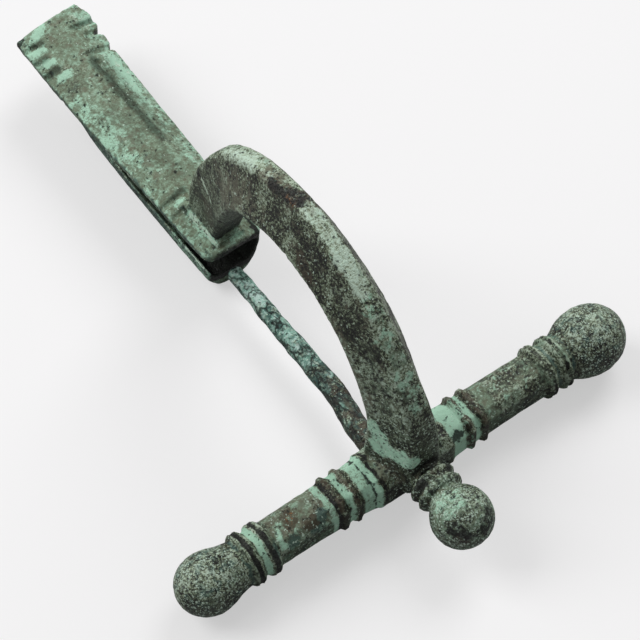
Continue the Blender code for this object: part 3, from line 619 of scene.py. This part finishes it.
    height = weighed_sum(tree, (fine, 0.9), (sand, 0.7), (patches, 0.25), (white, 0.25), (pits, -0.6))
    if crusted:
        chosen = use_group(tree, speckle, Place=spot, Size=1.4, Cover=0.75, Soft=0.12, Seed=13.0)["Mask"]
        broken = product(tree, product(tree, crust["Cracks"], chosen), CRACK_STRENGTH)
        surface = blend(tree, broken, surface, colours.soot_and_shade[:])
        height = math_node(tree, "SUBTRACT", height, broken)
    bump = node(tree, "ShaderNodeBump")
    bump.inputs["Strength"].default_value = 1.0
    bump.inputs["Distance"].default_value = BUMP_DEPTH
    feed(tree, bump.inputs["Height"], height)
    feed(tree, shader.inputs["Normal"], bump.outputs[0])
    feed(tree, shader.inputs["Base Color"], surface)
    powder = math_node(tree, "MAXIMUM", patches, coat)
    feed(tree, shader.inputs["Roughness"], ease(tree, powder, 0.0, 1.0, WORN_ROUGHNESS, POWDER_ROUGHNESS))
    shader.inputs["Metallic"].default_value = 0.0
    shader.inputs["Specular IOR Level"].default_value = BRONZE_GLOSS
    return material


def node_copy(node_name, piece_name):
    """A piece that starts as a merged copy of a CAD node's mesh."""
    mesh = frame["nodes"][node_name].data.copy()
    mesh.name = piece_name
    mesh.materials.clear()
    bm = bmesh.new()
    bm.from_mesh(mesh)
    bmesh.ops.remove_doubles(bm, verts=bm.verts, dist=1e-6)
    bm.to_mesh(mesh)
    bm.free()
    piece = bpy.data.objects.new(piece_name, mesh)
    bpy.context.scene.collection.objects.link(piece)
    return piece


def cad_tree(node_name):
    """A search tree over a CAD node's faces, in millimetres from the crossbar's middle."""
    mesh = frame["nodes"][node_name].data
    places = [(vertex.co - BAR_MIDDLE) / MM for vertex in mesh.vertices]
    return BVHTree.FromPolygons(places, [tuple(face.vertices) for face in mesh.polygons])


def fine_surface(piece, cell, tree):
    """Remesh a piece into even cells that lie on the CAD's faces, and keep the result as its mesh."""
    remesh = piece.modifiers.new("fine surface", "REMESH")
    remesh.mode = "VOXEL"
    remesh.voxel_size = cell
    graph = bpy.context.evaluated_depsgraph_get()
    mesh = bpy.data.meshes.new_from_object(piece.evaluated_get(graph))
    piece.modifiers.clear()
    old = piece.data
    piece.data = mesh
    bpy.data.meshes.remove(old)
    mesh.name = piece.name
    for vertex in mesh.vertices:
        nearest = tree.find_nearest((vertex.co - BAR_MIDDLE) / MM)[0]
        vertex.co = nearest * MM + BAR_MIDDLE
    mesh.update()
    return mesh


class Skin:
    """The points of a piece's mesh, in millimetres from the crossbar's middle."""

    def __init__(self, mesh):
        self.mesh = mesh
        count = len(mesh.vertices)
        flat = np.empty(count * 3)
        mesh.vertices.foreach_get("co", flat)
        self.points = (flat.reshape(-1, 3) - np.array(BAR_MIDDLE)) / MM
        flat = np.empty(count * 3)
        mesh.vertices.foreach_get("normal", flat)
        self.normals = flat.reshape(-1, 3)
        pairs = np.empty(len(mesh.edges) * 2, dtype=np.int64)
        mesh.edges.foreach_get("vertices", pairs)
        self.pairs = pairs.reshape(-1, 2)
        self.degree = np.maximum(np.bincount(pairs, minlength=count), 1).astype(float)

    def spread(self, values, times):
        """Average values with their neighbours a number of times."""
        first, second = self.pairs[:, 0], self.pairs[:, 1]
        for _ in range(times):
            total = (np.bincount(first, values[second], len(values))
                     + np.bincount(second, values[first], len(values)))
            values = 0.5 * values + 0.5 * total / self.degree
        return values

    def relief(self, times):
        """How far each point lies under (plus) or over (minus) the surface round it, in mm."""
        smooth = np.stack([self.spread(self.points[:, axis], times) for axis in range(3)], axis=1)
        return np.einsum("ij,ij->i", smooth - self.points, self.normals)

    def noise(self, size, seed):
        """Even noise from -1 to 1 at each point, with bumps of a size in mm."""
        shift = Vector((seed, seed * 1.7, seed * 0.6))
        scaled = self.points / size
        return np.array([noise.noise(Vector(point) + shift) for point in scaled])

    def swell(self, size, seed):
        """Even noise from 0 to 1 at each point, with bumps of a size in mm."""
        return 0.5 + 0.5 * self.noise(size, seed)

    def pits(self, size, radius, share, seed):
        """Round pits: 1 at a pit's middle, 0 outside its radius, on a share of the cells."""
        shift = Vector((seed, seed * 0.3, seed * 2.1))
        result = np.zeros(len(self.points))
        for i, point in enumerate(self.points / size):
            distances, places = noise.voronoi(Vector(point) + shift)
            if noise.cell(places[0] * 7.3) < share:
                result[i] = max(0.0, 1.0 - distances[0] / radius)
        return result

    def shelter(self, tree):
        """How shut in each point is by the faces round it, from 0 in the open to 1."""
        steps = np.arange(SHELTER_RAYS) + 0.5
        height = 1.0 - 2.0 * steps / SHELTER_RAYS
        turn = steps * math.pi * (3.0 - math.sqrt(5.0))
        flat = np.sqrt(1.0 - height ** 2)
        rays = np.stack([flat * np.cos(turn), flat * np.sin(turn), height], axis=1)
        facing = self.normals @ rays.T
        ways = [Vector(ray) for ray in rays]
        result = np.zeros(len(self.points))
        starts = self.points + self.normals * SHELTER_LIFT
        for i, start in enumerate(starts):
            origin = Vector(start)
            shut = total = 0.0
            for j in np.nonzero(facing[i] > SHELTER_GRAZING)[0]:
                weight = facing[i, j]
                total += weight
                distance = tree.ray_cast(origin, ways[j], SHELTER_REACH)[3]
                if distance is not None:
                    shut += weight * (1.0 - 0.5 * distance / SHELTER_REACH)
            result[i] = shut / total
        return result

    def move(self, depth):
        """Push each point in by a depth in mm, and keep it inside the CAD's box."""
        self.points -= self.normals * depth[:, None]
        places = self.points * MM + np.array(BAR_MIDDLE)
        low, high = (np.array(corner) for corner in CAD_BOX)
        places = np.clip(places, low, high)
        self.mesh.vertices.foreach_set("co", places.astype(np.float32).ravel())
        self.mesh.update()

    def write(self, name, columns):
        """Store four values per point as a colour attribute."""
        layer = self.mesh.attributes.new(name, "FLOAT_COLOR", "POINT")
        values = np.clip(np.stack(columns, axis=1), 0.0, 1.0)
        layer.data.foreach_set("color", values.astype(np.float32).ravel())


def clamp01(values):
    """Values held between 0 and 1."""
    return np.clip(values, 0.0, 1.0)


def rise(values, low, high):
    """0 at the low value, 1 at the high one, and even between them."""
    return clamp01((values - low) / (high - low))


def band(values, low, high, soft):
    """1 between two values and 0 outside them, with soft ends."""
    return rise(values, low - soft, low + soft) * rise(values, high + soft, high - soft)


def add_marks(skin, zones):
    """Add the coloured streaks to the zones of each kind."""
    wander = np.stack([skin.noise(MARK_WANDER_SIZE, seed) for seed in (3.0, 5.0, 7.0)], axis=1)
    for kind, start, end, radius, strength in MARKS:
        start, end = np.array(start), np.array(end)
        along = end - start
        moved = skin.points + wander * radius * MARK_WANDER
        share = clamp01((moved - start) @ along / max(along @ along, 1e-9))
        away = np.linalg.norm(moved - start - share[:, None] * along, axis=1)
        zones[kind] += strength * clamp01(MARK_CORE * (1.0 - away / radius))


def facing_shade(skin):
    """Painted shade for the way that each point faces away from the lights: most under the brooch and on
    its left.
    """
    return rise(skin.normals @ np.array(LIT_SIDE), *SHADE_SETS_IN)


def casting_zones(skin):
    """How much of each kind of patina, and of painted shade, lies at each point of the casting."""
    x, y, z = skin.points.T
    right, _, up = skin.normals.T
    measures = {"x": x, "y": y, "z": z, "side": np.abs(x), "right": right, "turn": np.abs(right), "up": up}
    zones = {kind: np.zeros(len(x)) for kind in KINDS}
    zones["specks"] += SPECKS_ANYWHERE
    shares = {}
    for name, limits, strengths in REGIONS:
        share = np.ones(len(x))
        for limit in limits:
            if not isinstance(limit, str):
                measure, low, high = limit
                share = share * rise(measures[measure], low, high)
            elif limit.startswith("-"):
                share = share * (1.0 - shares[limit[1:]])
            else:
                share = share * shares[limit]
        shares[name] = share
        for kind, strength in strengths.items():
            zones[kind] += strength * share

    wobble = x + BAND_WANDER * skin.noise(BAND_WANDER_SIZE, seed=33.0)
    for bands, place, soft in ((ARM_BANDS, np.abs(wobble), SOFT_BAND), (LEFT_BANDS, -wobble, SHARP_BAND),
                               (RIGHT_BANDS, wobble, SOFT_BAND)):
        for low, high, kind, strength in bands:
            zones[kind] += strength * shares["bar"] * band(place, low, high, soft)
    add_marks(skin, zones)
    # Painted shade on faces turned from the lights, spared where mint and pale crust lie
    spared_from_shade = clamp01(zones["mint"] + PALE_SPARED_SHADE * zones["pale"])
    zones["shade"] += facing_shade(skin) * (1.0 - spared_from_shade)
    return zones


def finish_piece(piece, material, body, node_name):
    """Give a piece its material and smooth shading, hang it on its body, and hide the CAD node that it
    stands for.
    """
    piece.data.materials.append(material)
    piece.data.shade_smooth()
    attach(piece, body)
    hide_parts(node_name)


class BROOCH_OT_stage(bpy.types.Operator):
    """Set the pale floor, the soft lights and the camera."""
    bl_idname = "brooch.stage"
    bl_label = "Add the stage"

    def execute(self, context):
        studio = context.scene.brooch_studio
        bm = bmesh.new()
        bmesh.ops.create_grid(bm, x_segments=1, y_segments=1, size=studio.floor_size / 2)
        mesh = bpy.data.meshes.new("studio_floor")
        bm.to_mesh(mesh)
        bm.free()
        floor = bpy.data.objects.new("studio_floor", mesh)
        context.scene.collection.objects.link(floor)
        paper = bpy.data.materials.new("pale_paper")
        paper.use_nodes = True
        shader = paper.node_tree.nodes["Principled BSDF"]
        shader.inputs["Base Color"].default_value = (*studio.floor_colour, 1.0)
        shader.inputs["Roughness"].default_value = PAPER_ROUGHNESS
        shader.inputs["Specular IOR Level"].default_value = PAPER_GLOSS
        shader.inputs["Emission Strength"].default_value = studio.floor_glow
        seen = node(paper.node_tree, "ShaderNodeLightPath").outputs["Is Camera Ray"]
        glow = blend(paper.node_tree, seen, BLACK, WHITE)
        feed(paper.node_tree, shader.inputs["Emission Color"], glow)
        mesh.materials.append(paper)

        world = bpy.data.worlds.new("studio_room")
        world.use_nodes = True
        background = world.node_tree.nodes["Background"]
        background.inputs["Color"].default_value = (*WHITE, 1.0)
        background.inputs["Strength"].default_value = studio.world_strength
        context.scene.world = world
        context.scene.view_settings.view_transform = "Standard"

        self.add_light(context, "left_window", studio.left_power, LEFT_WINDOW)
        self.add_light(context, "right_window", studio.right_power, RIGHT_WINDOW)

        data = bpy.data.cameras.new("photo_camera")
        data.lens = studio.lens
        data.sensor_width = SENSOR_WIDTH
        data.clip_start = NEAR_CLIP
        camera = bpy.data.objects.new("photo_camera", data)
        context.scene.collection.objects.link(camera)
        turned, raised = studio.azimuth, studio.elevation
        right = Vector((math.cos(turned), math.sin(turned), 0.0))
        back = Vector((math.sin(turned) * math.cos(raised), -math.cos(turned) * math.cos(raised),
                       math.sin(raised)))
        turn = Matrix((right, back.cross(right), back)).transposed().to_4x4()
        camera.matrix_world = Matrix.Translation(Vector(studio.camera_place)) @ turn
        context.scene.camera = camera
        return {"FINISHED"}

    def add_light(self, context, name, power, place):
        """A soft square light that faces the brooch."""
        data = bpy.data.lights.new(name, "AREA")
        data.energy = power
        data.size = context.scene.brooch_studio.window_size
        light = bpy.data.objects.new(name, data)
        light.location = place
        light.rotation_euler = (-Vector(place)).to_track_quat("-Z", "Y").to_euler()
        context.scene.collection.objects.link(light)


class BROOCH_OT_casting(bpy.types.Operator):
    """Dress the casting in its pitted, powdery patina."""
    bl_idname = "brooch.casting"
    bl_label = "Add the casting"

    def execute(self, context):
        sizes = context.scene.brooch_sizes
        piece = node_copy("brooch_casting", "patinated_casting")
        tree = cad_tree("brooch_casting")
        skin = Skin(fine_surface(piece, sizes.casting_cell, tree))
        edge = clamp01(-skin.relief(times=6) * CASTING_EDGE_GAIN)
        lumps = skin.swell(size=2.4, seed=1.0)
        grain = skin.swell(size=0.6, seed=2.0)
        chips = skin.swell(size=1.2, seed=4.0)
        pits = skin.pits(size=1.3, radius=0.34, share=0.35, seed=9.0)
        depth = (lumps * sizes.lump_depth + grain * sizes.grain_depth + pits * sizes.pit_depth
                 + edge * chips * sizes.edge_wear) / MM
        skin.move(depth)
        # How shut in each point is: in the patina this darkens grooves and hollows, partly soiling and
        # partly painted shade
        shelter = skin.shelter(tree)
        zones = casting_zones(skin)
        skin.write("bloom", [zones[kind] for kind in ("mint", "pale", "tan", "brown")])
        # Rubbed edges, shelter for soiling and painted shade, dark patina with painted shadow in the
        # catch's opening, and teal
        skin.write("wear", [edge, shelter, zones["dark"] + pits * 0.6, zones["teal"]])
        # The last of these four channels is painted shade
        skin.write("finish_and_shade", [zones["specks"], zones["rust"], zones["coat"], zones["shade"]])
        colours = context.scene.brooch_colours
        tones = (colours.drab, colours.sage, colours.mint, colours.mint_bright)
        material = make_patina("casting_patina", colours, tones, False)
        finish_piece(piece, material, "casting", "brooch_casting")
        return {"FINISHED"}


class BROOCH_OT_pin(bpy.types.Operator):
    """Dress the pin in its cracked mint crust."""
    bl_idname = "brooch.pin"
    bl_label = "Add the pin"

    def execute(self, context):
        sizes = context.scene.brooch_sizes
        piece = node_copy("pin", "crusted_pin")
        skin = Skin(fine_surface(piece, sizes.pin_cell, cad_tree("pin")))
        edge = clamp01(-skin.relief(times=5) * PIN_EDGE_GAIN)
        lumps = skin.swell(size=1.5, seed=21.0)
        grain = skin.swell(size=0.45, seed=22.0)
        outer = rise(skin.points[:, 1], *PIN_OUTER)
        depth = (lumps * sizes.crust_depth * (1.0 - 0.25 * outer) + grain * sizes.grain_depth) / MM
        skin.move(depth)
        # How far the casting shuts in the pin: below, this darkens the pin as soiling and painted shadow
        # under the bow
        shelter = skin.shelter(cad_tree("brooch_casting"))
        plates = skin.swell(size=1.6, seed=25.0)
        none = np.zeros(len(outer))
        skin.write("bloom", [0.1 + 0.36 * outer, 0.45 * outer * plates, none, 0.5 - 0.5 * outer])
        skin.write("wear", [edge, shelter * 0.7, 0.12 + 0.18 * lumps, 0.45 - 0.1 * outer])
        # The last of these channels is painted shade on faces turned from the lights
        skin.write("finish_and_shade", [0.08 + 0.08 * outer, none, 0.25 + 0.75 * outer, 0.6 * facing_shade(skin)])
        colours = context.scene.brooch_colours
        tones = (colours.teal, colours.pin_green, colours.pin_mint, colours.pin_bright)
        material = make_patina("pin_patina", colours, tones, True)
        finish_piece(piece, material, "pin_body", "pin")
        return {"FINISHED"}


class BROOCH_PT_panel(bpy.types.Panel):
    """Sizes, colours and steps of the brooch."""
    bl_idname = "BROOCH_PT_panel"
    bl_label = "Crossbow brooch"
    bl_space_type = "VIEW_3D"
    bl_region_type = "UI"
    bl_category = "Brooch"

    def draw(self, context):
        layout = self.layout
        scene = context.scene
        for label, group in (("Sizes", scene.brooch_sizes), ("Colours", scene.brooch_colours),
                             ("Studio", scene.brooch_studio)):
            box = layout.box()
            box.label(text=label)
            for name in group.__annotations__:
                box.prop(group, name)
        for step in (BROOCH_OT_stage, BROOCH_OT_casting, BROOCH_OT_pin):
            layout.operator(step.bl_idname)


CLASSES = (BroochSizes, BroochColours, StudioSettings, BROOCH_OT_stage, BROOCH_OT_casting, BROOCH_OT_pin,
           BROOCH_PT_panel)


def register():
    """Register the classes and hang the settings on the scene."""
    for item in CLASSES:
        bpy.utils.register_class(item)
    bpy.types.Scene.brooch_sizes = PointerProperty(type=BroochSizes)
    bpy.types.Scene.brooch_colours = PointerProperty(type=BroochColours)
    bpy.types.Scene.brooch_studio = PointerProperty(type=StudioSettings)


def unregister():
    """Take the settings and the classes away again."""
    del bpy.types.Scene.brooch_studio
    del bpy.types.Scene.brooch_colours
    del bpy.types.Scene.brooch_sizes
    for item in reversed(CLASSES):
        bpy.utils.unregister_class(item)


def main():
    """Build the stage and the brooch."""
    register()
    bpy.ops.brooch.stage()
    bpy.ops.brooch.casting()
    bpy.ops.brooch.pin()


if __name__ == "__main__":
    main()
